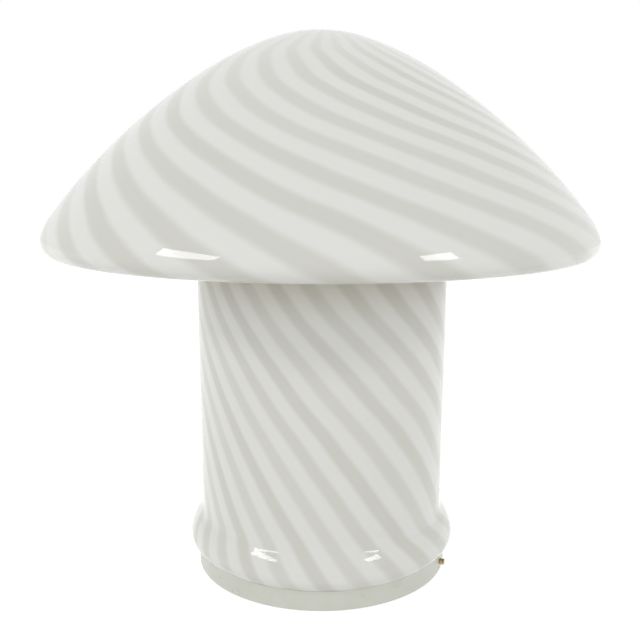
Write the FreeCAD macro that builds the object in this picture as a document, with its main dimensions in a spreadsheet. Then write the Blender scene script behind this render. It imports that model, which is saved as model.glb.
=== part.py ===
"""Mushroom table lamp: one blown swirl-glass body, cap and stem in one piece, that lifts off a low
lacquered steel base. The base carries a pipe with a lampholder and an opal lamp, and two small
brass screws clamp the neck of the glass. Millimetres, +Z up, origin on the table under the axis,
the front of the lamp towards -Y."""

import FreeCAD, Part
import math
import os
import re

import Sketcher
from FreeCAD import Placement, Rotation, Vector

SIZES = {
    # Blown glass: outline of the cap from the crown out to the rim
    "lamp_height": 396.0,
    "cap_radius": 200.0,
    "crown_edge_radius": 35.9,
    "crown_edge_drop": 6.2,
    "shoulder_radius": 84.6,
    "shoulder_drop": 30.2,
    "rim_height": 250.4,
    "brim_setback": 8.6,
    "brim_rise": 17.8,
    "lip_setback": 0.6,
    "lip_rise": 3.2,
    "rim_roll": 9.6,
    # Blown glass: underside, stem, bead and neck
    "underside_rise": 4.5,
    "underside_edge": 18.0,
    "stem_radius": 92.8,
    "bead_radius": 101.8,
    "bead_roll": 9.2,
    "bead_height": 25.2,
    "bead_flank_angle": 26.5,
    "bead_under_angle": 80.0,
    "bead_corner": 10.0,
    "neck_radius": 89.5,
    "neck_ground": 4.6,
    "glass_wall": 4.0,
    # Base ring and what lies inside it
    "ring_radius": 95.4,
    "ring_wall": 1.6,
    "ring_foot": 0.5,
    "ring_top": 15.2,
    "ring_edge_round": 0.7,
    "ring_flange_width": 3.3,
    "ring_flange_thickness": 1.2,
    "seat_height": 4.6,
    "plate_thickness": 0.8,
    "plate_gap": 0.1,
    "plate_bend": 2.0,
    "seat_inner_radius": 82.5,
    "riser_top_radius": 79.0,
    "plate_top": 24.0,
    "gasket_thickness": 0.8,
    "gasket_overhang": 1.2,
    # Underside
    "felt_thickness": 0.8,
    "felt_inner_radius": 68.0,
    "cover_thickness": 1.0,
    "cover_gap": 0.3,
    "pillar_circle": 58.0,
    "pillar_radius": 3.5,
    "pillar_count": 3,
    "pillar_gap": 1.5,
    "cover_screw_radius": 1.5,
    "cover_screw_length": 8.0,
    "cover_screw_head": 2.8,
    # Inlet for the flat mains lead, at the back
    "inlet_width": 7.6,
    "inlet_top": 4.4,
    "inlet_depth": 10.0,
    "inlet_lead_width": 5.8,
    "inlet_lead_top": 3.6,
    "grommet_flange": 1.0,
    "grommet_lip": 0.9,
    "grommet_gap": 0.1,
    # Clamping screws
    "clamp_turn": 21.0,
    "clamp_height": 7.2,
    "clamp_screw_radius": 1.5,
    "clamp_head_radius": 2.25,
    "clamp_head_length": 3.2,
    "clamp_head_gap": 0.4,
    "clamp_slot_width": 0.8,
    "clamp_slot_depth": 0.9,
    "clamp_edge": 0.3,
    "clamp_hole_gap": 0.3,
    "clamp_fit": 0.05,
    "clamp_pad_radius": 1.3,
    "clamp_pad_length": 1.5,
    "clamp_pad_gap": 0.3,
    "bush_radius": 2.4,
    "bush_depth": 0.9,
    "bush_stand": 1.2,
    # Threaded pipe with its nuts and washers
    "pipe_radius": 5.0,
    "pipe_bore": 4.0,
    "pipe_foot": 17.5,
    "pipe_hole_gap": 0.15,
    "thread_fit": 0.05,
    "nut_flats": 14.0,
    "nut_height": 3.2,
    "washer_radius": 8.0,
    "washer_thickness": 0.8,
    # Lampholder for an E27 lamp
    "holder_foot": 115.0,
    "collar_radius": 8.0,
    "collar_height": 9.0,
    "socket_depth": 11.0,
    "dome_height": 12.0,
    "holder_radius": 19.5,
    "holder_wall": 2.0,
    "holder_ledge": 1.2,
    "holder_gap": 0.2,
    "cap_joint": 26.0,
    "pipe_stop": 1.0,
    "holder_cap_round": 5.0,
    "skirt_height": 36.0,
    "skirt_bore": 13.5,
    "skirt_rib": 1.0,
    "skirt_rib_rise": 10.0,
    "skirt_rib_height": 3.0,
    "skirt_edge_chamfer": 1.0,
    "insert_ledge": 23.0,
    "insert_flange_height": 8.5,
    "insert_boss_radius": 12.8,
    "insert_boss_height": 3.5,
    "terminal_offset": 8.0,
    "terminal_screw_radius": 1.4,
    "terminal_head_radius": 2.5,
    "terminal_head_height": 2.4,
    "contact_thickness": 0.5,
    "contact_width": 6.0,
    "contact_rise": 2.7,
    "side_contact_height": 8.3,
    "side_contact_offset": 11.5,
    "grub_radius": 1.5,
    "grub_height": 4.5,
    # Opal lamp
    "bulb_contact_gap": 0.4,
    "bulb_length": 105.0,
    "bulb_radius": 30.0,
    "bulb_neck_radius": 12.3,
    "bulb_wall": 0.8,
    "bulb_neck_rise": 32.0,
    "bulb_neck_foot": 16.0,
    "bulb_cap_radius": 13.1,
    "bulb_cap_wall": 0.4,
    "bulb_cap_foot": 3.4,
    "bulb_cap_top": 26.4,
    "bulb_eyelet_radius": 4.5,
    "bulb_eyelet_height": 1.1,
    "bulb_insulator_radius": 7.0,
    "bulb_cap_taper": 3.1,
    "bulb_mount_radius": 2.2,
    "bulb_mount_foot": 18.0,
    "bulb_mount_rise": 58.0,
    "filament_wire": 0.4,
    "filament_spread": 10.0,
    "filament_foot": 38.0,
    "filament_rise": 72.0,
    "filament_dip": 6.0,
    # Connector strip and the two leads up the pipe
    "strip_distance": 45.0,
    "strip_width": 18.0,
    "strip_depth": 15.0,
    "strip_height": 12.0,
    "strip_base": 4.0,
    "strip_tower_width": 6.4,
    "strip_pole_pitch": 11.6,
    "strip_bore": 2.1,
    "strip_bore_drop": 8.0,
    "sleeve_bore": 1.4,
    "sleeve_recess": 1.0,
    "sleeve_fit": 0.1,
    "strip_screw_radius": 1.3,
    "strip_screw_spacing": 7.0,
    "strip_screw_recess": 0.6,
    "fixing_screw_radius": 1.25,
    "fixing_head_radius": 2.3,
    "fixing_head_height": 1.8,
    "fixing_nut_flats": 5.0,
    "fixing_nut_height": 2.0,
    "fixing_tail": 0.6,
    "lead_radius": 1.0,
    "lead_offset": 1.7,
    "lead_bend": 5.0,
    "lead_bend_in_cap": 3.0,
    "lead_low": 8.0,
    "lead_tuck": 3.5,
}

doc = FreeCAD.newDocument("mushroom_table_lamp")
sheet = doc.addObject("Spreadsheet::Sheet", "Sizes")
for row, (name, size) in enumerate(SIZES.items(), 1):
    sheet.set(f"A{row}", name)
    sheet.set(f"B{row}", str(size))
    sheet.setAlias(f"B{row}", name)
doc.recompute()


def linked(formula):
    """The formula with every size name pointing at its cell in the sheet."""
    return re.sub(r"[a-z]\w*", lambda m: "Sizes." + m[0] if m[0] in SIZES else m[0], formula)


def value(formula):
    """What the formula is worth with the sizes in the sheet."""
    return float(sheet.evalExpression(linked(formula)))


def named(thing, label):
    thing.Label = label
    return thing


def new_body(label):
    body = named(doc.addObject("PartDesign::Body", label), label)
    body.AllowCompound = True
    return body


def plane_of(body, role):
    return next(f for f in body.Origin.OriginFeatures if f.Role == role)


def new_sketch(body, name, plane="XZ_Plane", offset="0", aside="0"):
    """An empty sketch on one of the body's own origin planes, raised off it by the offset and
    with its own origin moved aside along its first axis."""
    sketch = body.newObject("Sketcher::SketchObject", f"{body.Label}_{name}")
    sketch.AttachmentSupport = [(plane_of(body, plane), "")]
    sketch.MapMode = "FlatFace"
    sketch.AttachmentOffset = Placement(Vector(value(aside), 0, value(offset)), Rotation())
    for axis, formula in (("x", aside), ("z", offset)):
        if formula != "0":
            sketch.setExpression(f"AttachmentOffset.Base.{axis}", linked(formula))
    return sketch


def dimension(sketch, kind, where, formula):
    """A driving constraint whose size is the formula."""
    index = sketch.addConstraint(Sketcher.Constraint(kind, *where, value(formula)))
    sketch.setExpression(f"Constraints[{index}]", linked(formula))


def fix_point(sketch, edge, end, x, y):
    """Pin one end of an edge at (x, y); a nought puts it on that axis."""
    for kind, axis, formula in (("DistanceX", -2, x), ("DistanceY", -1, y)):
        if formula is not None and abs(value(formula)) < 1e-9:
            sketch.addConstraint(Sketcher.Constraint("PointOnObject", edge, end, axis))
        elif formula is not None:
            dimension(sketch, kind, (-1, 1, edge, end), formula)


def polygon(sketch, corners):
    """A closed run of straight lines through the corners, each given by two formulas."""
    points = [Vector(value(x), value(y), 0) for x, y in corners]
    count = len(points)
    first = sketch.GeometryCount
    for i in range(count):
        sketch.addGeometry(Part.LineSegment(points[i], points[(i + 1) % count]), False)
    for i in range(count):
        following = first + (i + 1) % count
        sketch.addConstraint(Sketcher.Constraint("Coincident", first + i, 2, following, 1))
        fix_point(sketch, first + i, 1, *corners[i])


def circle(sketch, x, y, radius):
    round_ = Part.Circle(Vector(value(x), value(y), 0), Vector(0, 0, 1), value(radius))
    edge = sketch.addGeometry(round_, False)
    fix_point(sketch, edge, 3, x, y)
    dimension(sketch, "Radius", (edge,), radius)


def turn(body, sketch, feature="Revolution", angle=360.0):
    """Revolve the sketch about its vertical axis, adding to the body or cutting from it."""
    turned = body.newObject(f"PartDesign::{feature}", f"{sketch.Label}_{feature.lower()}")
    turned.Profile = sketch
    turned.ReferenceAxis = (sketch, ["V_Axis"])
    turned.Angle = angle
    return turned


def extrude(body, sketch, length, feature="Pad", both_ways=False, reverse=False):
    """Pad or pocket the sketch by the length."""
    block = body.newObject(f"PartDesign::{feature}", f"{sketch.Label}_{feature.lower()}")
    block.Profile = sketch
    block.Length = value(length)
    block.setExpression("Length", linked(length))
    block.Midplane = both_ways
    block.Reversed = reverse
    return block


def cut_checked(body, feature):
    """Recompute and make sure that a cut took material away."""
    doc.recompute()
    if not feature.Shape.Volume < feature.BaseFeature.Shape.Volume - 1e-6:
        raise RuntimeError(f"{feature.Label} cut nothing from {body.Label}")


def turned_body(label, *outlines):
    """A body turned from one or more closed outlines in the half plane of radius and height."""
    body = new_body(label)
    sketch = new_sketch(body, "outline")
    for corners in outlines:
        polygon(sketch, corners)
    turn(body, sketch)
    return body


def round_off(body, feature, radius, wanted):
    """Fillet the edges of the feature for which wanted(edge) holds."""
    doc.recompute()
    picked = [f"Edge{i}" for i, e in enumerate(feature.Shape.Edges, 1) if wanted(e)]
    fillet = body.newObject("PartDesign::Fillet", f"{body.Label}_fillet")
    fillet.Base = (feature, picked)
    fillet.Radius = value(radius)
    fillet.setExpression("Radius", linked(radius))
    return fillet


def circle_at(radius, height):
    """A test that finds the full circle of that radius and height about the axis."""
    def wanted(edge):
        curve = edge.Curve
        return (isinstance(curve, Part.Circle)
                and abs(curve.Radius - value(radius)) < 0.01
                and abs(curve.Center.z - value(height)) < 0.01)
    return wanted


# ---------------------------------------------------------------- glass
# One gather of glass: domed cap, rolled rim, straight stem, a bead above the base and the short
# neck that stands inside the base ring. The wall is even, open only at the foot of the neck. The
# lowest band of the neck, which the clamp grips, is cut off flat and ground true.
NECK_FOOT = "seat_height + gasket_thickness"
GROUND_TOP = f"({NECK_FOOT} + neck_ground)"
BEAD_AXIS = "bead_radius - bead_roll"


def unit(degrees):
    return Vector(math.cos(math.radians(degrees)), math.sin(math.radians(degrees)), 0)


def left_of(heading):
    return Vector(-heading.y, heading.x, 0)


def tangent_centre(start, heading, end):
    """Centre of the circle that leaves start along the heading and passes through end."""
    across = left_of(heading)
    chord = end - start
    return start + across * (chord.dot(chord) / (2 * chord.dot(across)))


def heading_at(point, centre, before):
    """Unit tangent of the circle at the point, on the side that the heading before it turns to."""
    tangent = left_of(point - centre).normalize()
    return tangent if tangent.dot(before) > 0 else tangent * -1


def draw_edge(sketch, start, end, centre=None):
    """A line, or the short arc round a centre, as (edge, its start, its end, centre)."""
    if centre is None:
        return sketch.addGeometry(Part.LineSegment(start, end), False), 1, 2, centre
    a = math.atan2(start.y - centre.y, start.x - centre.x)
    b = math.atan2(end.y - centre.y, end.x - centre.x)
    sweep = (b - a + math.pi) % (2 * math.pi) - math.pi
    whole = Part.Circle(centre, Vector(0, 0, 1), (start - centre).Length)
    if sweep > 0:
        return sketch.addGeometry(Part.ArcOfCircle(whole, a, a + sweep), False), 1, 2, centre
    return sketch.addGeometry(Part.ArcOfCircle(whole, b, b - sweep), False), 2, 1, centre


def make_smooth(sketch, edges):
    """Join each edge to the next without a corner."""
    for (edge, _, end, _), (following, start, _, _) in zip(edges, edges[1:]):
        sketch.addConstraint(Sketcher.Constraint("Tangent", edge, end, following, start))


def glass_outline():
    """Corner-free outside outline from the crown to the ground band: points, headings, centres."""
    rim_low = "rim_height - rim_roll"
    cap = [
        ("0", "lamp_height"),
        ("crown_edge_radius", "lamp_height - crown_edge_drop"),
        ("shoulder_radius", "lamp_height - shoulder_drop"),
        ("cap_radius - brim_setback", "rim_height + brim_rise"),
        ("cap_radius - lip_setback", "rim_height + lip_rise"),
        ("cap_radius - rim_roll", rim_low),
        ("stem_radius + underside_edge", f"{rim_low} + underside_rise"),
    ]
    points = [Vector(value(x), value(y), 0) for x, y in cap]
    headings = [Vector(1, 0, 0)]
    centres = []
    for start, end in zip(points, points[1:]):
        centres.append(tangent_centre(start, headings[-1], end))
        turned = headings[-1] if len(centres) < 5 else end - start
        headings.append(heading_at(end, centres[-1], turned))
    # fillet into the stem: tangent to the underside and to the stem's side
    stem_side = value("stem_radius")
    across = left_of(headings[-1])
    centres.append(points[-1] + across * ((points[-1].x - stem_side) / (1 - across.x)))
    points.append(Vector(stem_side, centres[-1].y, 0))
    down = Vector(0, -1, 0)
    headings.append(down)
    # stem, corner, flank of the bead, bead
    flank = value("bead_flank_angle")
    axis = Vector(value(BEAD_AXIS), value("bead_height"), 0)
    flank_end = axis + unit(flank) * value("bead_roll")
    slope = Vector(math.sin(math.radians(flank)), -math.cos(math.radians(flank)), 0)
    meet = flank_end - slope * ((flank_end.x - stem_side) / slope.x)
    trim = value("bead_corner") * math.tan(math.radians(flank / 2))
    points += [meet - down * trim, meet + slope * trim, flank_end]
    centres += [None, points[-3] + Vector(value("bead_corner"), 0, 0), None]
    headings += [down, slope, slope]
    # round the bead and through the hollow under it into the neck
    under = unit(-value("bead_under_angle"))
    points.append(axis + under * value("bead_roll"))
    centres.append(axis)
    headings.append(heading_at(points[-1], axis, Vector(-1, 0, 0)))
    neck_side = value("neck_radius")
    hollow = (points[-1].x - neck_side) / (1 - under.x)
    centres.append(points[-1] + under * hollow)
    points += [Vector(neck_side, centres[-1].y, 0), Vector(neck_side, value(GROUND_TOP), 0)]
    centres.append(None)
    headings += [down, down]
    return cap, points, headings, centres


def draw_wall(sketch, points, headings, centres, thickness):
    """A blown wall: the outside, the inside one thickness further in, and the two cut ends. The
    first end lies on the axis. Gives the outer and the inner edges."""
    outer = [draw_edge(sketch, *ends, c) for *ends, c in zip(points, points[1:], centres)]
    make_smooth(sketch, outer)
    inside = [p + left_of(h) * -value(thickness) for p, h in zip(points, headings)]
    inner = [draw_edge(sketch, *ends, c) for *ends, c in zip(inside, inside[1:], centres)]
    make_smooth(sketch, inner)
    for (edge, _, _, centre), (inner_edge, _, _, _) in zip(outer, inner):
        if centre is not None:
            sketch.addConstraint(Sketcher.Constraint("Coincident", edge, 3, inner_edge, 3))
    foot = draw_edge(sketch, points[-1], inside[-1])
    spine = draw_edge(sketch, inside[0], points[0])
    for one, two in ((outer[-1][::2], foot[:2]), ((foot[0], 2), inner[-1][::2]),
                     (inner[0][:2], spine[:2]), ((spine[0], 2), outer[0][:2])):
        sketch.addConstraint(Sketcher.Constraint("Coincident", *one, *two))
    fix_point(sketch, inner[0][0], inner[0][1], "0", None)
    return outer, inner


def upright(sketch, *edges):
    for edge in edges:
        sketch.addConstraint(Sketcher.Constraint("Vertical", edge[0]))


glass = new_body("glass_body")
sketch = new_sketch(glass, "wall")
cap, *outline = glass_outline()
outer, inner = draw_wall(sketch, *outline, "glass_wall")
fix_point(sketch, outer[0][0], outer[0][1], *cap[0])
sketch.addConstraint(Sketcher.Constraint("PointOnObject", outer[0][0], 3, -2))
for (edge, _, end, _), place in zip(outer, cap[1:]):
    fix_point(sketch, edge, end, *place)
fillet, stem, corner, flank, bead, hollow, neck = outer[6:]
stem_inside, _, flank_inside, _, _, neck_inside = inner[7:]
upright(sketch, stem, neck, stem_inside, neck_inside)
sketch.addConstraint(Sketcher.Constraint("Parallel", flank[0], flank_inside[0]))
fix_point(sketch, fillet[0], fillet[2], "stem_radius", None)
dimension(sketch, "Radius", (corner[0],), "bead_corner")
dimension(sketch, "Radius", (bead[0],), "bead_roll")
fix_point(sketch, bead[0], 3, BEAD_AXIS, "bead_height")
fix_point(sketch, bead[0], bead[1], f"{BEAD_AXIS} + bead_roll * cos(bead_flank_angle)", None)
fix_point(sketch, bead[0], bead[2], f"{BEAD_AXIS} + bead_roll * cos(bead_under_angle)", None)
fix_point(sketch, neck[0], neck[2], "neck_radius", GROUND_TOP)
fix_point(sketch, neck_inside[0], neck_inside[2], "neck_radius - glass_wall", GROUND_TOP)
turn(glass, sketch)

turned_body("ground_neck", [
    ("neck_radius - glass_wall", NECK_FOOT),
    ("neck_radius", NECK_FOOT),
    ("neck_radius", GROUND_TOP),
    ("neck_radius - glass_wall", GROUND_TOP),
])

# ---------------------------------------------------------------- base
# A spun steel ring, lacquered white, with its foot turned in. A pressed plate sits on that foot:
# a low seat round the rim for the glass and a raised middle that carries the pipe and leaves room
# for the wiring underneath.
RING_INSIDE = "(ring_radius - ring_wall)"
FLANGE_TOP = "(ring_foot + ring_flange_thickness)"
FLANGE_INSIDE = f"({RING_INSIDE} - ring_flange_width)"
SEAT_UNDERSIDE = "(seat_height - plate_thickness)"
PLATE_UNDERSIDE = "(plate_top - plate_thickness)"
PIPE_HOLE = "(pipe_radius + pipe_hole_gap)"


def notch_for_lead(body, top):
    """Cut the way for the flat lead in from the back, from under the body up to the top."""
    sketch = new_sketch(body, "inlet", offset=f"-({FLANGE_INSIDE} - inlet_depth)")
    half = "inlet_width / 2"
    polygon(sketch, [(f"-{half}", "-ring_foot"), (half, "-ring_foot"), (half, top),
                     (f"-{half}", top)])
    cut_checked(body, extrude(body, sketch, "inlet_depth + ring_flange_width + 2 * ring_wall",
                              "Pocket"))


ring = turned_body("base_ring", [
    ("ring_radius", "ring_foot"),
    ("ring_radius", "ring_top"),
    (RING_INSIDE, "ring_top"),
    (RING_INSIDE, FLANGE_TOP),
    (FLANGE_INSIDE, FLANGE_TOP),
    (FLANGE_INSIDE, "ring_foot"),
])
round_off(ring, ring.Tip, "ring_edge_round",
          lambda e: circle_at("ring_radius", "ring_top")(e) or circle_at(RING_INSIDE, "ring_top")(e))
notch_for_lead(ring, "inlet_top")
for name, radius, reach in (
    ("bush_hole", "bush_radius + clamp_fit", f"{RING_INSIDE} + bush_depth"),
    ("screw_hole", "clamp_screw_radius + clamp_hole_gap", "ring_radius + ring_wall"),
):
    sketch = new_sketch(ring, name, "YZ_Plane")
    sketch.AttachmentOffset = Placement(Vector(), Rotation(Vector(0, -1, 0), value("clamp_turn")))
    sketch.setExpression("AttachmentOffset.Rotation.Angle", linked("clamp_turn"))
    circle(sketch, "0", "clamp_height", radius)
    cut_checked(ring, extrude(ring, sketch, f"2 * ({reach})", "Pocket", both_ways=True))

plate_edge = f"({RING_INSIDE} - plate_gap)"
plate = turned_body("carrier_plate", [
    (plate_edge, f"{FLANGE_TOP} + plate_gap"),
    (plate_edge, "seat_height"),
    ("seat_inner_radius", "seat_height"),
    ("riser_top_radius", "plate_top"),
    (PIPE_HOLE, "plate_top"),
    (PIPE_HOLE, PLATE_UNDERSIDE),
    ("riser_top_radius - plate_thickness", PLATE_UNDERSIDE),
    ("seat_inner_radius - plate_thickness", SEAT_UNDERSIDE),
    (f"{plate_edge} - plate_thickness", SEAT_UNDERSIDE),
    (f"{plate_edge} - plate_thickness", f"{FLANGE_TOP} + plate_gap"),
])
round_off(plate, plate.Tip, "plate_bend", circle_at("riser_top_radius", "plate_top"))
round_off(plate, plate.Tip, "plate_bend - plate_thickness",
          circle_at("riser_top_radius - plate_thickness", PLATE_UNDERSIDE))
notch_for_lead(plate, SEAT_UNDERSIDE)
sketch = new_sketch(plate, "fixing_hole", "XY_Plane")
circle(sketch, "0", "strip_distance", "fixing_screw_radius + thread_fit")
cut_checked(plate, extrude(plate, sketch, "plate_top", "Pocket", reverse=True))

turned_body("seat_gasket", [
    ("neck_radius - glass_wall - gasket_overhang", "seat_height"),
    ("neck_radius + gasket_overhang", "seat_height"),
    ("neck_radius + gasket_overhang", NECK_FOOT),
    ("neck_radius - glass_wall - gasket_overhang", NECK_FOOT),
])

# ---------------------------------------------------------------- underside
# A thin round cover closes the wiring space. Three pillars riveted under the plate take its
# countersunk screws, and a ring of felt under its rim is what the lamp stands on.
COVER_TOP = "(felt_thickness + cover_thickness)"
COVER_EDGE = f"({FLANGE_INSIDE} - cover_gap)"


def pattern_round(body, feature, count):
    """Repeat a feature evenly about the vertical axis."""
    doc.recompute()
    pattern = body.newObject("PartDesign::PolarPattern", f"{body.Label}_pattern")
    pattern.Originals = [feature]
    pattern.Axis = (plane_of(body, "Z_Axis"), [""])
    pattern.Angle = 360
    pattern.Occurrences = int(value(count))
    pattern.setExpression("Occurrences", linked(count))
    body.Tip = pattern
    return pattern


def turned_round(label, corners, circle_radius, count):
    """Like turned pieces set evenly on a circle, as one body of separate solids."""
    body = new_body(label)
    sketch = new_sketch(body, "outline", aside=circle_radius)
    polygon(sketch, corners)
    pattern_round(body, turn(body, sketch), count)
    return body


felt = turned_body("felt_ring", [
    ("felt_inner_radius", "0"),
    (COVER_EDGE, "0"),
    (COVER_EDGE, "felt_thickness"),
    ("felt_inner_radius", "felt_thickness"),
])
notch_for_lead(felt, COVER_TOP)

cover = turned_body("bottom_cover", [
    ("0", "felt_thickness"),
    (COVER_EDGE, "felt_thickness"),
    (COVER_EDGE, COVER_TOP),
    ("0", COVER_TOP),
])
notch_for_lead(cover, f"{COVER_TOP} + plate_gap")
sketch = new_sketch(cover, "countersink", aside="pillar_circle")
polygon(sketch, [
    ("0", "felt_thickness"),
    ("cover_screw_head + clamp_fit", "felt_thickness"),
    ("cover_screw_radius + clamp_fit", COVER_TOP),
    ("0", COVER_TOP),
])
sinks = pattern_round(cover, turn(cover, sketch, "Groove"), "pillar_count")
cut_checked(cover, sinks)

turned_round("cover_pillars", [
    ("0", "cover_screw_length + felt_thickness + pillar_gap"),
    ("cover_screw_radius + clamp_fit", "cover_screw_length + felt_thickness + pillar_gap"),
    ("cover_screw_radius + clamp_fit", COVER_TOP),
    ("pillar_radius", COVER_TOP),
    ("pillar_radius", PLATE_UNDERSIDE),
    ("0", PLATE_UNDERSIDE),
], "pillar_circle", "pillar_count")
turned_round("cover_screws", [
    ("0", "felt_thickness"),
    ("cover_screw_head", "felt_thickness"),
    ("cover_screw_radius", COVER_TOP),
    ("cover_screw_radius", "felt_thickness + cover_screw_length"),
    ("0", "felt_thickness + cover_screw_length"),
], "pillar_circle", "pillar_count")

# The lead's grommet: a moulded arch that lines the notch in the ring, with a lip outside.
grommet = new_body("cord_grommet")
for name, half, top, start, depth in (
    ("body", "(inlet_width / 2 - clamp_fit)", "(inlet_top - clamp_fit)",
     "ring_radius + grommet_gap + grommet_flange", "ring_wall + grommet_gap + grommet_flange"),
    ("lip", "(inlet_width / 2 + grommet_lip)", "(inlet_top + grommet_lip)",
     "ring_radius + grommet_gap + grommet_flange", "grommet_flange"),
):
    sketch = new_sketch(grommet, name, offset=f"-({start})")
    way = "inlet_lead_width / 2"
    polygon(sketch, [
        (f"-{half}", "ring_foot"), (f"-{half}", top), (half, top), (half, "ring_foot"),
        (way, "ring_foot"), (way, "inlet_lead_top"), (f"-({way})", "inlet_lead_top"),
        (f"-({way})", "ring_foot"),
    ])
    extrude(grommet, sketch, depth)

# ---------------------------------------------------------------- clamping screws
# Two slender brass screws face each other across the ring. Each turns in a bush pressed into the
# ring from inside and pushes a nylon pad against the neck of the glass. They are drawn along
# their own axis, where the height is the distance from the axis of the lamp.
PAD_START = "(neck_radius + clamp_pad_gap)"
SCREW_START = f"({PAD_START} + clamp_pad_length)"
HEAD_START = "(ring_radius + clamp_head_gap)"
HEAD_END = f"({HEAD_START} + clamp_head_length)"
BUSH_START = f"({RING_INSIDE} - bush_stand)"
BUSH_END = f"({RING_INSIDE} + bush_depth)"


def aim(body, half_turn=0):
    """Lay a body that was drawn upright along the clamp's axis, or along it the other way."""
    towards = Rotation(half_turn - value("clamp_turn"), 90, 0)
    body.Placement = Placement(Vector(0, 0, value("clamp_height")), towards)
    body.setExpression("Placement.Base.z", linked("clamp_height"))


bushes = turned_body("clamp_bushes", *[[
    ("clamp_screw_radius + clamp_fit", f"{side}{BUSH_START}"),
    ("bush_radius", f"{side}{BUSH_START}"),
    ("bush_radius", f"{side}{BUSH_END}"),
    ("clamp_screw_radius + clamp_fit", f"{side}{BUSH_END}"),
] for side in ("", "-")])
aim(bushes)
for side, half_turn in (("right", 0), ("left", 180)):
    pad = turned_body(f"clamp_pad_{side}", [
        ("0", PAD_START),
        ("clamp_pad_radius", PAD_START),
        ("clamp_pad_radius", SCREW_START),
        ("0", SCREW_START),
    ])
    screw = turned_body(f"thumbscrew_{side}", [
        ("0", SCREW_START),
        ("clamp_screw_radius", SCREW_START),
        ("clamp_screw_radius", HEAD_START),
        ("clamp_head_radius", HEAD_START),
        ("clamp_head_radius", f"{HEAD_END} - clamp_edge"),
        ("clamp_head_radius - clamp_edge", HEAD_END),
        ("0", HEAD_END),
    ])
    sketch = new_sketch(screw, "slot", "XY_Plane", offset=HEAD_END)
    long, across = "clamp_head_radius * 2", "clamp_slot_width / 2"
    polygon(sketch, [(f"-({long})", f"-({across})"), (long, f"-({across})"), (long, across),
                     (f"-({long})", across)])
    cut_checked(screw, extrude(screw, sketch, "clamp_slot_depth", "Pocket"))
    for piece in (pad, screw):
        aim(piece, half_turn)

# ---------------------------------------------------------------- pipe
# A threaded pipe stands in the middle of the plate between two nuts and their washers. A third
# nut locks the lampholder on its upper end.
PIPE_TOP = "(holder_foot + socket_depth)"
turned_body("lamp_pipe", [
    ("pipe_bore", "pipe_foot"),
    ("pipe_radius", "pipe_foot"),
    ("pipe_radius", PIPE_TOP),
    ("pipe_bore", PIPE_TOP),
])
turned_body("pipe_washers", *[[
    ("pipe_radius + pipe_hole_gap", low),
    ("washer_radius", low),
    ("washer_radius", f"{low} + washer_thickness"),
    ("pipe_radius + pipe_hole_gap", f"{low} + washer_thickness"),
] for low in (f"{PLATE_UNDERSIDE} - washer_thickness", "plate_top")])


def hex_nut(label, foot, flats, height, bore, y="0"):
    """A hexagon nut on the point (0, y), with a plain bore where the thread is."""
    nut = new_body(label)
    sketch = new_sketch(nut, "hexagon", "XY_Plane", offset=foot)
    corners = [(f"{flats} / sqrt(3) * cos({60 * k})", f"{y} + {flats} / sqrt(3) * sin({60 * k})")
               for k in range(6)]
    polygon(sketch, corners)
    circle(sketch, "0", y, bore)
    extrude(nut, sketch, height)
    return nut


NUT_BORE = "pipe_radius + thread_fit"
hex_nut("pipe_nut_lower", f"{PLATE_UNDERSIDE} - washer_thickness - nut_height", "nut_flats",
        "nut_height", NUT_BORE)
hex_nut("pipe_nut_upper", "plate_top + washer_thickness", "nut_flats", "nut_height", NUT_BORE)
hex_nut("holder_lock_nut", "holder_foot - nut_height", "nut_flats", "nut_height", NUT_BORE)

# ---------------------------------------------------------------- lampholder
# Moulded in two shells that screw together round a ceramic insert: a cap with a collar for the
# pipe, and a skirt that guides the lamp's screw shell. The insert carries the two contacts, and
# its terminal screws face down into the cap.
JOINT = "(holder_foot + cap_joint)"
LEDGE = "(holder_foot + insert_ledge)"
INSERT_FLANGE_TOP = f"({LEDGE} + insert_flange_height)"
INSERT_TOP = f"({INSERT_FLANGE_TOP} + insert_boss_height)"
HOLDER_INSIDE = "(holder_radius - holder_wall)"
CAP_SHOULDER = "(holder_foot + collar_height + dome_height)"
COLLAR_TOP = "(holder_foot + collar_height)"

holder_cap = turned_body("holder_cap", [
    ("pipe_radius + thread_fit", "holder_foot"),
    ("collar_radius", "holder_foot"),
    ("collar_radius", COLLAR_TOP),
    ("holder_radius", CAP_SHOULDER),
    ("holder_radius", JOINT),
    (HOLDER_INSIDE, JOINT),
    (HOLDER_INSIDE, LEDGE),
    (f"{HOLDER_INSIDE} - holder_ledge", LEDGE),
    ("collar_radius - pipe_stop", f"{PIPE_TOP} + pipe_stop"),
    ("pipe_bore + pipe_hole_gap", f"{PIPE_TOP} + pipe_stop"),
    ("pipe_bore + pipe_hole_gap", PIPE_TOP),
    ("pipe_radius + thread_fit", PIPE_TOP),
])
round_off(holder_cap, holder_cap.Tip, "holder_cap_round", circle_at("holder_radius", CAP_SHOULDER))
GRUB_HEIGHT = "holder_foot + grub_height"
sketch = new_sketch(holder_cap, "grub_hole")
circle(sketch, "0", GRUB_HEIGHT, "grub_radius + thread_fit")
cut_checked(holder_cap, extrude(holder_cap, sketch, "collar_radius + holder_wall", "Pocket"))
grub = new_body("holder_grub_screw")
sketch = new_sketch(grub, "outline", offset="-collar_radius")
circle(sketch, "0", GRUB_HEIGHT, "grub_radius")
extrude(grub, sketch, "collar_radius - pipe_radius - pipe_hole_gap")

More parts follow.
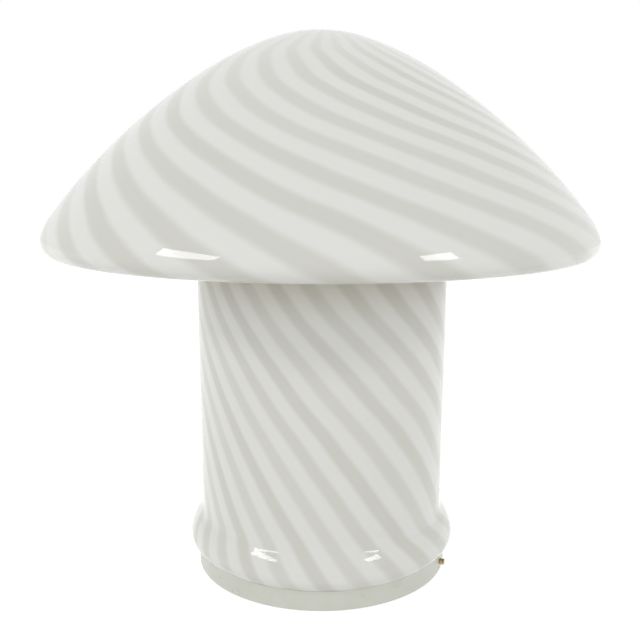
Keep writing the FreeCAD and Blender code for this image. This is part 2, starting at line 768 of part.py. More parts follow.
insert = turned_body("holder_insert", [
    ("0", LEDGE),
    (f"{HOLDER_INSIDE} - holder_gap", LEDGE),
    (f"{HOLDER_INSIDE} - holder_gap", INSERT_FLANGE_TOP),
    ("insert_boss_radius", INSERT_FLANGE_TOP),
    ("insert_boss_radius", INSERT_TOP),
    ("0", INSERT_TOP),
])
sketch = new_sketch(insert, "terminal_holes", "XY_Plane", offset=INSERT_TOP)
for side in ("", "-"):
    circle(sketch, f"{side}terminal_offset", "0", "terminal_screw_radius + holder_gap")
cut_checked(insert, extrude(insert, sketch, "insert_flange_height + insert_boss_height", "Pocket"))

rib_low = f"({JOINT} + skirt_rib_rise)"
skirt_top = f"({JOINT} + skirt_height)"
turned_body("holder_skirt", [
    ("holder_radius", JOINT),
    ("holder_radius", rib_low),
    ("holder_radius + skirt_rib", rib_low),
    ("holder_radius + skirt_rib", f"{rib_low} + skirt_rib_height"),
    ("holder_radius", f"{rib_low} + skirt_rib_height"),
    ("holder_radius", f"{skirt_top} - skirt_edge_chamfer"),
    ("holder_radius - skirt_edge_chamfer", skirt_top),
    ("skirt_bore", skirt_top),
    ("skirt_bore", INSERT_FLANGE_TOP),
    (HOLDER_INSIDE, INSERT_FLANGE_TOP),
    (HOLDER_INSIDE, JOINT),
])


def strip_of_metal(label, corners):
    """A bent brass strip: its side view pads both ways from the middle."""
    strip = new_body(label)
    sketch = new_sketch(strip, "side")
    polygon(sketch, corners)
    extrude(strip, sketch, "contact_width", both_ways=True)


foot_top = f"({INSERT_TOP} + contact_thickness)"
tongue = f"({foot_top} + contact_rise)"
toe = "(terminal_offset + terminal_head_radius)"
heel = "(terminal_offset / 2)"
strip_of_metal("centre_contact", [
    (toe, INSERT_TOP), (toe, foot_top), (heel, foot_top), ("contact_width / 4", tongue),
    ("-contact_width / 4", tongue), ("-contact_width / 4", f"{tongue} - contact_thickness"),
    ("contact_width / 4 - contact_thickness", f"{tongue} - contact_thickness"),
    (f"{heel} - contact_thickness", INSERT_TOP),
])
tab = "-side_contact_offset"
strip_of_metal("side_contact", [
    (f"-{heel}", INSERT_TOP), (f"-{heel}", foot_top),
    (f"{tab} + contact_thickness", foot_top),
    (f"{tab} + contact_thickness", f"{INSERT_TOP} + side_contact_height"),
    (tab, f"{INSERT_TOP} + side_contact_height"), (tab, INSERT_TOP),
])
screws = new_body("terminal_screws")
HEAD_LOW = f"({LEDGE} - terminal_head_height)"
for name, foot, length, radius in (
    ("heads", HEAD_LOW, "terminal_head_height", "terminal_head_radius"),
    ("shanks", HEAD_LOW, f"{INSERT_TOP} - {HEAD_LOW} - thread_fit", "terminal_screw_radius"),
):
    sketch = new_sketch(screws, name, "XY_Plane", offset=foot)
    for side in ("", "-"):
        circle(sketch, f"{side}terminal_offset", "0", radius)
    extrude(screws, sketch, length)

# ---------------------------------------------------------------- lamp
# An opal pear-shaped lamp: blown envelope, plated screw shell, black glass insulator and tip,
# and inside the envelope the glass mount with its supports and filament.
BULB_FOOT = f"({tongue} + bulb_contact_gap)"
EYELET_TOP = f"({BULB_FOOT} + bulb_eyelet_height)"
SHELL_FOOT = f"({BULB_FOOT} + bulb_cap_foot)"
SHELL_TOP = f"({BULB_FOOT} + bulb_cap_top)"
turned_body("bulb_contact", [
    ("0", BULB_FOOT),
    ("bulb_eyelet_radius / 2", BULB_FOOT),
    ("bulb_eyelet_radius", f"{BULB_FOOT} + bulb_eyelet_height / 2"),
    ("bulb_eyelet_radius", EYELET_TOP),
    ("0", EYELET_TOP),
])
turned_body("bulb_insulator", [
    ("0", EYELET_TOP),
    ("bulb_eyelet_radius", EYELET_TOP),
    ("bulb_insulator_radius", SHELL_FOOT),
    ("0", SHELL_FOOT),
])
turned_body("bulb_cap", [
    ("bulb_insulator_radius - bulb_cap_wall", SHELL_FOOT),
    ("bulb_insulator_radius", SHELL_FOOT),
    ("bulb_cap_radius", f"{SHELL_FOOT} + bulb_cap_taper"),
    ("bulb_cap_radius", SHELL_TOP),
    ("bulb_cap_radius - bulb_cap_wall", SHELL_TOP),
    ("bulb_cap_radius - bulb_cap_wall", f"{SHELL_FOOT} + bulb_cap_taper"),
])

bulb = new_body("bulb_glass")
sketch = new_sketch(bulb, "wall")
globe = Vector(0, value(f"{BULB_FOOT} + bulb_length - bulb_radius"), 0)
crown = globe + Vector(0, value("bulb_radius"), 0)
neck_side, neck_top = value("bulb_neck_radius"), value(f"{BULB_FOOT} + bulb_neck_rise")
drop = globe.y - neck_top
flare = ((neck_side ** 2 + drop ** 2 - value("bulb_radius") ** 2)
         / (2 * (value("bulb_radius") - neck_side)))
throat = Vector(neck_side + flare, neck_top, 0)
meeting = globe + (throat - globe).normalize() * value("bulb_radius")
down = Vector(0, -1, 0)
bulb_foot = Vector(neck_side, value(f"{BULB_FOOT} + bulb_neck_foot"), 0)
outer, inner = draw_wall(
    sketch, [crown, meeting, Vector(neck_side, neck_top, 0), bulb_foot],
    [Vector(1, 0, 0), heading_at(meeting, globe, down), down, down], [globe, throat, None],
    "bulb_wall")
upright(sketch, outer[2], inner[2])
fix_point(sketch, outer[0][0], outer[0][1], "0", None)
fix_point(sketch, outer[0][0], 3, "0", f"{BULB_FOOT} + bulb_length - bulb_radius")
dimension(sketch, "Radius", (outer[0][0],), "bulb_radius")
fix_point(sketch, outer[1][0], outer[1][2], "bulb_neck_radius", f"{BULB_FOOT} + bulb_neck_rise")
fix_point(sketch, outer[2][0], outer[2][2], None, f"{BULB_FOOT} + bulb_neck_foot")
fix_point(sketch, inner[2][0], inner[2][2], "bulb_neck_radius - bulb_wall",
          f"{BULB_FOOT} + bulb_neck_foot")
turn(bulb, sketch)

mount_foot = f"({BULB_FOOT} + bulb_mount_foot)"
turned_body("bulb_mount", [
    ("0", mount_foot),
    ("bulb_neck_radius - bulb_wall - thread_fit", mount_foot),
    ("bulb_mount_radius", f"{BULB_FOOT} + bulb_neck_rise"),
    ("bulb_mount_radius", f"{BULB_FOOT} + bulb_mount_rise"),
    ("0", f"{BULB_FOOT} + bulb_mount_rise"),
])


def rounded_path(points, radii):
    """Straight runs through the points, joined by tangent arcs of the given radii."""
    edges, last = [], points[0]
    for before, point, after, radius in zip(points, points[1:], points[2:], radii):
        back, ahead = (before - point).normalize(), (after - point).normalize()
        half = back.getAngle(ahead) / 2
        tangent = radius / math.tan(half)
        middle = point + (back + ahead).normalize() * (radius / math.sin(half) - radius)
        edges.append(Part.LineSegment(last, point + back * tangent).toShape())
        edges.append(Part.Arc(point + back * tangent, middle, point + ahead * tangent).toShape())
        last = point + ahead * tangent
    edges.append(Part.LineSegment(last, points[-1]).toShape())
    return Part.Wire(edges)


def wire_along(label, points, radii, radius):
    """A round wire along straight runs and arcs, checked against section times length."""
    path = rounded_path(points, radii)
    direction = (points[1] - points[0]).normalize()
    section = Part.Wire(Part.Circle(points[0], direction, radius).toShape())
    wire = named(doc.addObject("Part::Feature", label), label)
    wire.Shape = path.makePipeShell([section], True, False)
    expected = math.pi * radius ** 2 * path.Length
    if abs(wire.Shape.Volume / expected - 1) > 0.02:
        raise RuntimeError(f"{label} has the wrong volume")
    return wire


wire_radius = value("filament_wire")
low, high = value(f"{BULB_FOOT} + filament_foot"), value(f"{BULB_FOOT} + filament_rise")
root, spread = value("bulb_mount_radius + filament_wire + thread_fit"), value("filament_spread")
bend = wire_radius * 3
wire_along("bulb_filament", [
    Vector(-root, 0, low), Vector(-spread, 0, high), Vector(0, 0, high - value("filament_dip")),
    Vector(spread, 0, high), Vector(root, 0, low),
], [bend] * 3, wire_radius)

# ---------------------------------------------------------------- wiring
# A two-pole connector strip hangs under the plate behind the pipe. From it the two leads dip
# under the pipe's end, go up through it and end at the lampholder's terminal screws.
STRIP_FOOT = f"({PLATE_UNDERSIDE} - strip_height)"
STRIP_BASE_FOOT = f"({PLATE_UNDERSIDE} - strip_base)"
BORE_HEIGHT = f"({PLATE_UNDERSIDE} - strip_bore_drop)"
POLE = "strip_pole_pitch / 2"
STRIP_FRONT = "(strip_distance - strip_depth / 2)"
STRIP_BACK = "(strip_distance + strip_depth / 2)"


def rectangle(sketch, low_x, high_x, low_y, high_y):
    polygon(sketch, [(low_x, low_y), (high_x, low_y), (high_x, high_y), (low_x, high_y)])


strip = new_body("connector_strip")
sketch = new_sketch(strip, "base", "XY_Plane", offset=STRIP_BASE_FOOT)
rectangle(sketch, "-strip_width / 2", "strip_width / 2", STRIP_FRONT, STRIP_BACK)
extrude(strip, sketch, "strip_base")
sketch = new_sketch(strip, "towers", "XY_Plane", offset=STRIP_FOOT)
for side in ("", "-"):
    middle = f"{side}{POLE}"
    rectangle(sketch, f"{middle} - strip_tower_width / 2", f"{middle} + strip_tower_width / 2",
              STRIP_FRONT, STRIP_BACK)
extrude(strip, sketch, "strip_height - strip_base")
SCREW_Y = [f"strip_distance {sign} strip_screw_spacing / 2" for sign in "-+"]
sketch = new_sketch(strip, "bores", offset=f"-{STRIP_BACK}")
for side in ("", "-"):
    circle(sketch, f"{side}{POLE}", BORE_HEIGHT, "strip_bore")
cut_checked(strip, extrude(strip, sketch, "strip_depth", "Pocket", reverse=True))
sketch = new_sketch(strip, "screw_ways", "XY_Plane", offset=STRIP_FOOT)
for side in ("", "-"):
    for y in SCREW_Y:
        circle(sketch, f"{side}{POLE}", y, "strip_screw_radius + thread_fit")
cut_checked(strip, extrude(strip, sketch, f"{BORE_HEIGHT} - {STRIP_FOOT}", "Pocket", reverse=True))
sketch = new_sketch(strip, "fixing_way", "XY_Plane", offset=STRIP_BASE_FOOT)
circle(sketch, "0", "strip_distance", "fixing_screw_radius + thread_fit")
cut_checked(strip, extrude(strip, sketch, "strip_base", "Pocket", reverse=True))

sleeves = new_body("connector_sleeves")
sketch = new_sketch(sleeves, "outline", offset=f"-({STRIP_BACK} - sleeve_recess)")
for side in ("", "-"):
    for radius in ("strip_bore - sleeve_fit", "sleeve_bore"):
        circle(sketch, f"{side}{POLE}", BORE_HEIGHT, radius)
extrude(sleeves, sketch, "strip_depth - 2 * sleeve_recess")
sketch = new_sketch(sleeves, "screw_ways", "XY_Plane", offset=STRIP_FOOT)
for side in ("", "-"):
    for y in SCREW_Y:
        circle(sketch, f"{side}{POLE}", y, "strip_screw_radius + thread_fit")
cut_checked(sleeves, extrude(sleeves, sketch, f"{BORE_HEIGHT} - {STRIP_FOOT}", "Pocket",
                             reverse=True))
screws = new_body("connector_screws")
sketch = new_sketch(screws, "outline", "XY_Plane", offset=f"{STRIP_FOOT} + strip_screw_recess")
for side in ("", "-"):
    for y in SCREW_Y:
        circle(sketch, f"{side}{POLE}", y, "strip_screw_radius")
extrude(screws, sketch,
        f"{BORE_HEIGHT} - lead_radius - thread_fit - {STRIP_FOOT} - strip_screw_recess")

fixing = new_body("strip_fixing_screw")
for name, foot, length, radius in (
    ("head", f"{STRIP_BASE_FOOT} - fixing_head_height", "fixing_head_height",
     "fixing_head_radius"),
    ("shank", f"{STRIP_BASE_FOOT} - fixing_head_height",
     "fixing_head_height + strip_base + plate_thickness + fixing_nut_height + fixing_tail",
     "fixing_screw_radius"),
):
    sketch = new_sketch(fixing, name, "XY_Plane", offset=foot)
    circle(sketch, "0", "strip_distance", radius)
    extrude(fixing, sketch, length)
hex_nut("strip_fixing_nut", "plate_top", "fixing_nut_flats", "fixing_nut_height",
        "fixing_screw_radius + thread_fit", y="strip_distance")

pole, offset, terminal = value(POLE), value("lead_offset"), value("terminal_offset")
bore_height, dip = value(BORE_HEIGHT), value("lead_low")
tucked = value(f"{STRIP_FRONT} + lead_tuck")
clear = value(f"{STRIP_FRONT} - strip_screw_spacing")
bend, tight = value("lead_bend"), value("lead_bend_in_cap")
cap_floor, screw_head = value(f"{PIPE_TOP} + pipe_stop"), value(HEAD_LOW)
for label, side in (("live_lead", 1), ("neutral_lead", -1)):
    wire_along(label, [
        Vector(side * pole, tucked, bore_height),
        Vector(side * pole, clear, bore_height),
        Vector(side * offset, 3 * bend, dip),
        Vector(side * offset, 0, dip),
        Vector(side * offset, 0, cap_floor + tight * 2 / 3),
        Vector(side * terminal, 0, screw_head - tight * 4 / 3),
        Vector(side * terminal, 0, screw_head - value("thread_fit")),
    ], [bend, bend, bend, tight, tight], value("lead_radius"))

# ---------------------------------------------------------------- check and write
doc.recompute()
for thing in doc.Objects:
    if {"Invalid", "Error"} & set(thing.State):
        raise RuntimeError(f"{thing.Label} did not build: {thing.State}")
os.makedirs("parts", exist_ok=True)
pieces = [o for o in doc.Objects
          if o.TypeId == "PartDesign::Body" or (o.TypeId == "Part::Feature" and not o.getParent())]
for piece in pieces:
    shape = piece.Shape
    if shape.isNull() or not shape.isValid() or not shape.Solids:
        raise RuntimeError(f"{piece.Label} has no valid solid")
    shape.exportStep(f"parts/{piece.Label}.step")
    print(f"{piece.Label}: {len(shape.Solids)} solids, {shape.Volume:.1f} mm3")
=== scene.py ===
import math
import bmesh
import bpy
import numpy as np
from mathutils import Matrix, Vector


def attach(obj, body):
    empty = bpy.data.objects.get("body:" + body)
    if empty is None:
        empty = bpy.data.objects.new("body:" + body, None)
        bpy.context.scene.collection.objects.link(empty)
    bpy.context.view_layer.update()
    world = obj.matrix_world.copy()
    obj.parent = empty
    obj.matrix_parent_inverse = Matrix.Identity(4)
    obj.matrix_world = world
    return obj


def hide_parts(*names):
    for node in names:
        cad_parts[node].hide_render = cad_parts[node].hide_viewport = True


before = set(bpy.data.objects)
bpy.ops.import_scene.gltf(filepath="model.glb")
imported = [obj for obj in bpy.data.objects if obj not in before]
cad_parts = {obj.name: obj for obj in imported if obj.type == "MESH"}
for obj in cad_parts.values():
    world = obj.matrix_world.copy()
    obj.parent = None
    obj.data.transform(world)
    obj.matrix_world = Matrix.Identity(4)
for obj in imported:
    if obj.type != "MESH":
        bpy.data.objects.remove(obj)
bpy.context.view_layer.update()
MM = 0.001

# ---------------------------------------------------------------- camera
# The photograph looks slightly down on the lamp from about 64 cm, with the camera a touch
# out of level.
camera = bpy.data.objects.new("camera", bpy.data.cameras.new("camera"))
bpy.context.scene.collection.objects.link(camera)
camera.data.sensor_width = 36
camera.data.lens = 48.36
camera.data.clip_start = 0.01
camera.matrix_world = (Matrix.Translation(Vector((-1.0, -640, 304.77)) * MM)
                       @ Matrix.Rotation(math.radians(90 - 10.49), 4, "X")
                       @ Matrix.Rotation(math.radians(-0.05), 4, "Z"))
bpy.context.scene.camera = camera
bpy.context.scene.view_settings.view_transform = "Standard"


# ---------------------------------------------------------------- glass
# One piece of mouth-blown glass: domed cap, rolled rim, stem and bead. Ribs of white enamel
# glass are laid on the gather and twisted before it is blown, so the bands swirl round the
# axis from the crown to the foot, whiter than the thinly cased glass between them.
def path_of_arcs(start, heading, runs, step):
    """Points, headings and distances along a chain of runs. A run is (length, turn): the
    heading changes evenly by the turn along it, which makes an arc, or a straight line where
    the turn is 0. Each short bit advances by its chord along its mean heading."""
    counts = [max(2, round(length / step), round(abs(turn) / 5)) for length, turn in runs]
    bits = np.concatenate([np.full(n, length / n) for n, (length, _) in zip(counts, runs)])
    turns = np.radians(np.concatenate([np.full(n, turn / n) for n, (_, turn) in zip(counts, runs)]))
    ahead = math.radians(heading) + np.append(0, np.cumsum(turns))
    middle = (ahead[:-1] + ahead[1:]) / 2
    chord = bits * np.sinc(turns / 2 / math.pi)
    steps = np.stack([chord * np.cos(middle), chord * np.sin(middle)], 1)
    return (np.vstack([start, start + np.cumsum(steps, 0)]), ahead,
            np.append(0, np.cumsum(bits)))


def surface(name, points, chart=None, wrap=(False, True), crease=35):
    """A mesh from a grid of points in millimetres, rows by columns, closed on itself along the
    ways that wrap names. chart is a map of (u, v) for the same grid, with one more row or
    column where it wraps. Points that coincide, as on an axis, are merged."""
    rows, columns = points.shape[:2]
    k = np.arange(rows if wrap[0] else rows - 1)[:, None]
    i = np.arange(columns if wrap[1] else columns - 1)[None, :]
    corners = [(k, i), (k + 1, i), (k + 1, i + 1), (k, i + 1)]
    quads = np.stack([a % rows * columns + b % columns for a, b in corners], -1)
    mesh = bpy.data.meshes.new(name)
    mesh.from_pydata((points.reshape(-1, 3) * MM).tolist(), [], quads.reshape(-1, 4).tolist())
    if chart is not None:
        uv = np.stack([chart[a, b] for a, b in corners], 2).astype(np.float32)
        mesh.uv_layers.new(name="swirl").data.foreach_set("uv", uv.ravel())
    merged = bmesh.new()
    merged.from_mesh(mesh)
    bmesh.ops.remove_doubles(merged, verts=merged.verts, dist=1e-7)
    merged.to_mesh(mesh)
    merged.free()
    mesh.shade_smooth()
    mesh.set_sharp_from_angle(angle=math.radians(crease))
    return mesh


def turned(profile, around=128):
    """Points of a profile of (radius, height) carried round the vertical axis: radius r and
    angle a give (r sin a, -r cos a), so that angle 0 faces the camera."""
    a = np.linspace(-math.pi, math.pi, around, endpoint=False)
    r, z = np.asarray(profile, float).T[:, :, None]
    return np.stack(np.broadcast_arrays(r * np.sin(a), -r * np.cos(a), z), -1)


def piece(name, mesh, finish, body, *stands_for, slot):
    """A finished piece: its mesh and material, the body it rides on and the CAD nodes that it
    stands for."""
    made = bpy.data.objects.new(name, mesh)
    bpy.context.scene.collection.objects.link(made)
    mesh.materials.append(finish)
    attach(made, body)
    if stands_for:
        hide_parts(*stands_for)
    return made


def linear(code):
    """An sRGB hex colour as the linear values that a socket takes."""
    c = np.array([int(code[i:i + 2], 16) for i in (1, 3, 5)]) / 255
    return (*np.where(c <= 0.04045, c / 12.92, ((c + 0.055) / 1.055) ** 2.4), 1.0)


def node(tree, kind, settings=(), **links):
    """Add a node with its settings. A link's key is the input's name or its number after an
    underscore; its value is a socket to link or a value to set."""
    made = tree.nodes.new("ShaderNode" + kind)
    for key, value in dict(settings).items():
        setattr(made, key, value)
    for key, value in links.items():
        socket = made.inputs[int(key[1:]) if key[0] == "_" else key.replace("_", " ")]
        if isinstance(value, bpy.types.NodeSocket):
            tree.links.new(value, socket)
        else:
            socket.default_value = value
    return made


def material(name, **sockets):
    """A node material by its finish, with the shader's own sockets set."""
    made = bpy.data.materials.new(name)
    made.use_nodes = True
    shader = made.node_tree.nodes["Principled BSDF"]
    for key, value in sockets.items():
        shader.inputs[key.replace("_", " ")].default_value = value
    return made, made.node_tree, shader


CROWN = np.array([0.0, 396.0])
WALL = 4.0
RUNS = [  # length in mm and turn in degrees, from the crown down the outside
    (36.61, -19.597), (54.414, -13.276), (145.351, -19.101), (16.722, -18.613),  # cap
    (18.285, -109.052), (79.78, -7.195), (27.186, 96.833),  # rim, underside, fillet
    (90.0, 0.0), (20.0, -0.45), (72.023, 0.0),  # stem
    (8.544, 38.85), (13.84, -24.4), (17.883, -94.0), (4.657, 80.0), (5.001, 0.0),  # bead, neck
]
outer, ahead, along = path_of_arcs(CROWN, 0, RUNS, 3.2)
inward = np.stack([np.sin(ahead), -np.cos(ahead)], 1)
inner = outer + WALL * inward
inner[0, 0] = outer[0, 0] = 0
keep = np.arange(len(outer) - 1, -1, -2)
wall = np.vstack([outer, inner[keep]])
wall_along = np.append(along, along[keep])

BANDS = 24
SWIRL = np.array([  # distance down the wall, twist, sideways lean, front lean (degrees)
    (0, 10, 380, -300), (30, 1.8, 359, -292), (70, -4.2, 238, -234), (110, 9.7, 122, -171),
    (150, 31.5, 14, -94), (190, 56.5, -78, -13), (225, 75.7, -125, 68), (252, 87.9, -146, 147),
    (402, 153.1, -9, 370), (440, 174.2, 1, 336), (480, 194.7, 13, 300), (520, 212.2, 21, 264),
    (560, 228.9, 25, 229), (600, 245.2, 26, 191), (615, 251, 26, 180),
])


def swirl(distance, angle):
    """How many bands lie between the front of the crown and a point. Each band winds by the
    twist, read along the wall from smoothed straight runs, and the whole pattern leans
    sideways with the sine of the angle and to the front with one less its cosine."""
    fine = np.arange(-20, 640)
    rows = [np.interp(fine, SWIRL[:, 0], column) for column in SWIRL.T[1:]]
    bell = np.hanning(25) / np.hanning(25).sum()
    smooth = [np.convolve(np.pad(row, 12, "edge"), bell, "valid") for row in rows]
    twist, side, front = (np.interp(distance, fine, row)[:, None] for row in smooth)
    lean = side * np.sin(angle) - front * (1 - np.cos(angle))
    return (BANDS * (np.degrees(angle) - twist) + lean) / 360


def blown(points):
    """The glass as it came off the pipe: the cap sits 0.7 mm to one side and hangs a quarter of
    a degree lower on the other, the stem leans out by as much and has a slight waist. Each
    shift is a smooth weight of the height times a line in x."""
    x, y, z = np.moveaxis(points, -1, 0)
    cap = np.clip((z - 222) / 30, 0, 1)
    cap = cap * cap * (3 - 2 * cap)
    stem = np.clip((z - 45) / 185, 0, 1)
    waist = 1 - 0.005 * np.exp(-((z - 112) / 32) ** 2)
    side = 0.7 * stem - (1.4 + 0.0035 * x) * cap
    return np.stack([x * waist + side, y * waist, z - 0.0042 * cap * x], -1)


AROUND = 224
angle = np.linspace(-math.pi, math.pi, AROUND + 1)
chart = np.stack(np.broadcast_arrays(swirl(wall_along, angle), wall_along[:, None] / 100), -1)
glass_mesh = surface("blown_glass", blown(turned(wall, AROUND)), chart)

# Opal blown glass: soft white depth under a hard, perfectly smooth and glossy skin. The bands
# have soft edges, because the enamel spreads a little as it is blown out.
glass, tree, shader = material(
    "blown_opal_glass", Roughness=0.02, IOR=1.5, Subsurface_Weight=0.2,
    Subsurface_Scale=0.004, Subsurface_Radius=(1.0, 0.95, 0.9))
place = node(tree, "TexCoord")
counted = node(tree, "SeparateXYZ", _0=place.outputs["UV"])
wander = node(tree, "TexNoise", Vector=place.outputs["Object"], Scale=1 / (70 * MM), Detail=1.0)
shifted = node(tree, "MapRange", Value=wander.outputs["Fac"], To_Min=-0.09, To_Max=0.09)
band = node(tree, "Math", {"operation": "ADD"}, _0=counted.outputs["X"], _1=shifted.outputs[0])
across = node(tree, "Math", {"operation": "PINGPONG"}, _0=band.outputs[0], _1=0.5)
whiteness = node(tree, "MapRange", {"interpolation_type": "SMOOTHSTEP"},
                 Value=across.outputs[0], From_Min=0.12, From_Max=0.35)
number = node(tree, "Math", {"operation": "ROUND"}, _0=band.outputs[0])
chance = node(tree, "TexWhiteNoise", {"noise_dimensions": "1D"}, W=number.outputs[0])
strength = node(tree, "MapRange", Value=chance.outputs["Value"], To_Min=0.75, To_Max=1.1)
clear = node(tree, "Math", {"operation": "SUBTRACT"}, _0=1.0, _1=whiteness.outputs[0])
depth = node(tree, "Math", {"operation": "MULTIPLY"}, _0=clear.outputs[0], _1=strength.outputs[0])
# The enamel lies thickest at the crown, so the bands are faint there and grow clear by 120 mm.
thin = node(tree, "MapRange", {"interpolation_type": "SMOOTHSTEP"}, Value=counted.outputs["Y"],
            From_Min=0.1, From_Max=1.3, To_Min=0.3, To_Max=1.0)
shown = node(tree, "Math", {"operation": "MULTIPLY"}, _0=depth.outputs[0], _1=thin.outputs[0])
colour = node(tree, "Mix", {"data_type": "RGBA"}, _0=shown.outputs[0],
              _6=linear("#EAEAE6"), _7=linear("#D9D9D2"))
# Painted shade: on the top of the stem just below the cap, where the cap's shadow falls, the colour
# is multiplied by a warm brownish grey that fades out above and below.
near = node(tree, "MapRange", {"interpolation_type": "SMOOTHSTEP"}, Value=counted.outputs["Y"],
            From_Min=3.55, From_Max=4.15, To_Min=1.0, To_Max=0.0)
past = node(tree, "MapRange", {"interpolation_type": "SMOOTHSTEP"}, Value=counted.outputs["Y"],
            From_Min=3.1, From_Max=3.5)
painted_shade_under_cap = node(tree, "Math", {"operation": "MULTIPLY"}, _0=near.outputs[0], _1=past.outputs[0])
shaded_under_cap = node(tree, "Mix", {"data_type": "RGBA", "blend_type": "MULTIPLY"}, _0=painted_shade_under_cap.outputs[0],
             _6=colour.outputs[2], _7=linear("#D6CFC1"))
# The base colour carries the painted shade under the cap.
tree.links.new(shaded_under_cap.outputs[2], shader.inputs["Base Color"])
piece("blown_glass", glass_mesh, glass, "glass", "glass_body", "ground_neck",
      slot="white_glass")


# ---------------------------------------------------------------- base ring
# A spun steel ring, its foot turned in, sprayed with white lacquer. It hides the neck of the
# glass, and the clamping screws go through it.
def dress(finish, *names):
    """Give carried-over CAD nodes their finish."""
    for name in names:
        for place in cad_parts[name].material_slots:
            place.material = finish


def grain(tree, shader, size, depth, stretch=(1, 1, 1), detail=2.0):
    """Raise the surface by noise: lumps of a size and a depth in millimetres, drawn out along
    the axes whose stretch is large. Gives the noise's height from 0 to 1."""
    place = node(tree, "TexCoord")
    drawn = node(tree, "Mapping", Vector=place.outputs["Object"], Scale=[1 / s for s in stretch])
    lumps = node(tree, "TexNoise", Vector=drawn.outputs[0], Scale=1 / (size * MM),
                 Detail=detail)
    height = lumps.outputs[0]
    bump = node(tree, "Bump", Height=height, Distance=depth * MM)
    tree.links.new(bump.outputs[0], shader.inputs["Normal"])
    return height


def mottle(tree, shader, height, low, high, spread=(0.35, 0.65)):
    """Colour the surface by a height, from the low colour to the high one."""
    share = node(tree, "MapRange", Value=height, From_Min=spread[0], From_Max=spread[1])
    mixed = node(tree, "Mix", {"data_type": "RGBA"}, _0=share.outputs[0], _6=linear(low),
                 _7=linear(high))
    tree.links.new(mixed.outputs[2], shader.inputs["Base Color"])
    return share.outputs[0]


# Sprayed white lacquer on steel: a faint orange peel about a millimetre across softens the
# gloss, and a little dust has dulled it unevenly.
lacquer, tree, shader = material("white_lacquer_on_steel", Roughness=0.3, IOR=1.5)
peel = grain(tree, shader, 1.2, 0.012)
dust = node(tree, "TexNoise", Vector=node(tree, "TexCoord").outputs["Object"],
            Scale=1 / (14 * MM), Detail=3.0)
dulled = mottle(tree, shader, dust.outputs[0], "#D6D8CE", "#DADCD3")
haze = node(tree, "MapRange", Value=dulled, To_Min=0.26, To_Max=0.4)
tree.links.new(haze.outputs[0], shader.inputs["Roughness"])
dress(lacquer, "base_ring")

# ---------------------------------------------------------------- clamping screws
# Two slender brass screws turn in brass bushes pressed into the ring, and push nylon pads
# against the neck of the glass. They are turned from bar, and their slots are sawn.
CLAMP = (math.radians(-21), 7.2)  # direction round the axis from +X, height
PITCH = 0.5
THREAD_END = 95.4  # distance from the axis at which the plain head starts
# Turned brass, slightly tarnished: fine rings from the tool run round the axis, and brown
# tarnish sits in patches a few tenths of a millimetre across.
brass, tree, shader = material("turned_brass", Metallic=1.0, Roughness=0.28)
tarnish = grain(tree, shader, 0.9, 0.004, detail=3.0)
mottle(tree, shader, tarnish, "#A98C5E", "#D9BE8C")
rough = node(tree, "MapRange", Value=tarnish, To_Min=0.42, To_Max=0.2)
tree.links.new(rough.outputs[0], shader.inputs["Roughness"])
dress(brass, "clamp_bushes", "connector_sleeves")

# The same brass with a rolled thread of 0.5 mm pitch on the shank, drawn in the shading: the
# height is a triangle wave of the distance along the screw plus the turn round it.
threaded, tree, shader = material("rolled_brass_thread", Metallic=1.0, Roughness=0.25)
place = node(tree, "TexCoord")
aimed = node(tree, "Mapping", {"vector_type": "TEXTURE"}, Vector=place.outputs["Object"],
             Location=(0, 0, CLAMP[1] * MM), Rotation=(0, 0, CLAMP[0]))
part = node(tree, "SeparateXYZ", _0=aimed.outputs[0])
turn = node(tree, "Math", {"operation": "ARCTAN2"}, _0=part.outputs["Y"], _1=part.outputs["Z"])
turns = node(tree, "Math", {"operation": "DIVIDE"}, _0=turn.outputs[0], _1=2 * math.pi)
far = node(tree, "Math", {"operation": "ABSOLUTE"}, _0=part.outputs["X"])
pitches = node(tree, "Math", {"operation": "DIVIDE"}, _0=far.outputs[0], _1=PITCH * MM)
wound = node(tree, "Math", {"operation": "ADD"}, _0=pitches.outputs[0], _1=turns.outputs[0])
ridge = node(tree, "Math", {"operation": "PINGPONG"}, _0=wound.outputs[0], _1=0.5)
shank = node(tree, "Math", {"operation": "LESS_THAN"}, _0=far.outputs[0], _1=THREAD_END * MM)
height = node(tree, "Math", {"operation": "MULTIPLY"}, _0=ridge.outputs[0], _1=shank.outputs[0])
bump = node(tree, "Bump", Height=height.outputs[0], Distance=0.3 * MM)
tree.links.new(bump.outputs[0], shader.inputs["Normal"])
aged = node(tree, "TexNoise", Vector=place.outputs["Object"], Scale=1 / (0.9 * MM), Detail=3.0)
mottle(tree, shader, aged.outputs[0], "#8E7A56", "#D3BB8E")
dress(threaded, "thumbscrew_right", "thumbscrew_left")

# Natural nylon, turned from rod: milky, a little see-through, with a satin skin.
nylon, tree, shader = material("natural_nylon", Roughness=0.42, IOR=1.53,
                               Subsurface_Weight=0.3, Subsurface_Scale=0.0015)
mottle(tree, shader, grain(tree, shader, 0.7, 0.006), "#DEDACB", "#E8E5DA")
dress(nylon, "clamp_pad_right", "clamp_pad_left", "connector_strip")

